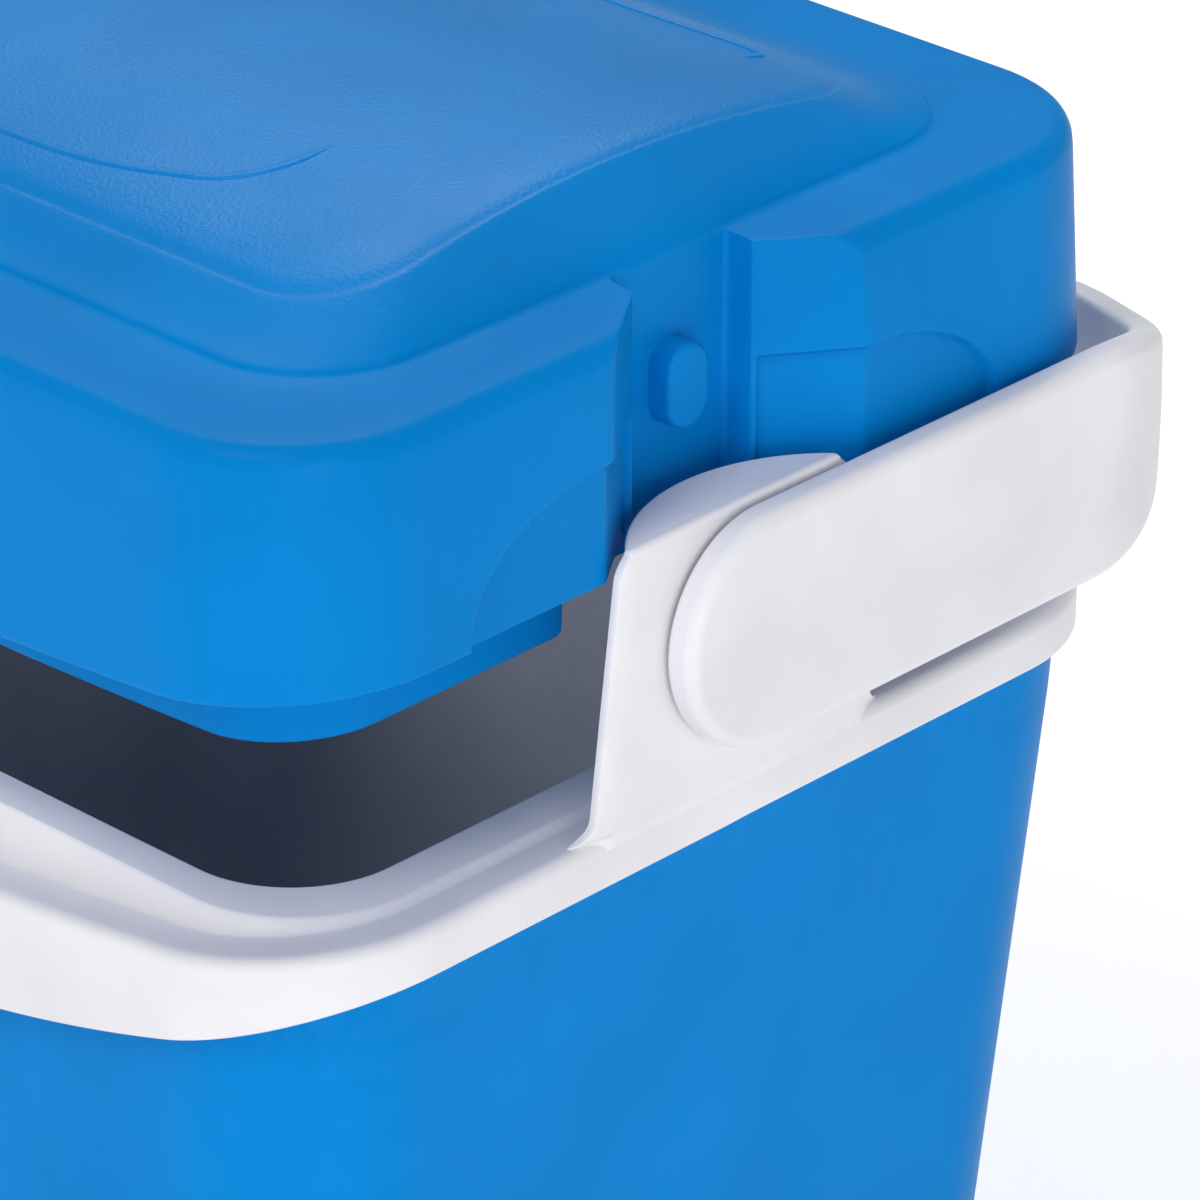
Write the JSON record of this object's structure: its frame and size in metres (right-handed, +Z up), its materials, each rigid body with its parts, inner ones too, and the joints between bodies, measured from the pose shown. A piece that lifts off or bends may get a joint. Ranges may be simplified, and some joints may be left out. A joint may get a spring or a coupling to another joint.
{
  "type": "cooler chest",
  "caption": "Passive picnic cooler: tapered insulated tub with a white collar, tall lift-off lid and swinging U-shaped carrying handle",
  "frame": {"origin": "centre of the collar's plan, on the floor under the tub's middle pad", "axes": "+Z up; +X along the long side, towards one handle pivot; -Y towards the front with the finger scoop; the handle is folded back towards +Y"},
  "size_m": [0.4164, 0.323, 0.4467],
  "materials": {
    "blue_plastic": "satin",
    "white_plastic": "satin",
    "liner_plastic": "satin",
    "insulating_foam": "matte"
  },
  "bodies": {
    "tub": {"tub_outer_shell": "blue_plastic", "tub_foam_core": "insulating_foam", "tub_inner_liner": "liner_plastic", "rim_collar": "white_plastic"},
    "lid": {"lid_outer_shell": "blue_plastic", "lid_foam_core": "insulating_foam", "lid_plug_panel": "blue_plastic"},
    "handle": {"carry_handle": "white_plastic"}
  },
  "joints": [
    {"name": "lid_lift", "type": "slide", "parent": "tub", "child": "lid", "axis": [0, 0, 1], "range_m": [-0.063, 0.06]},
    {"name": "handle_swing", "type": "hinge", "parent": "tub", "child": "handle", "pos_m": [0, 0, 0.3404], "axis": [1, 0, 0], "range_deg": [0, 180]}
  ]
}
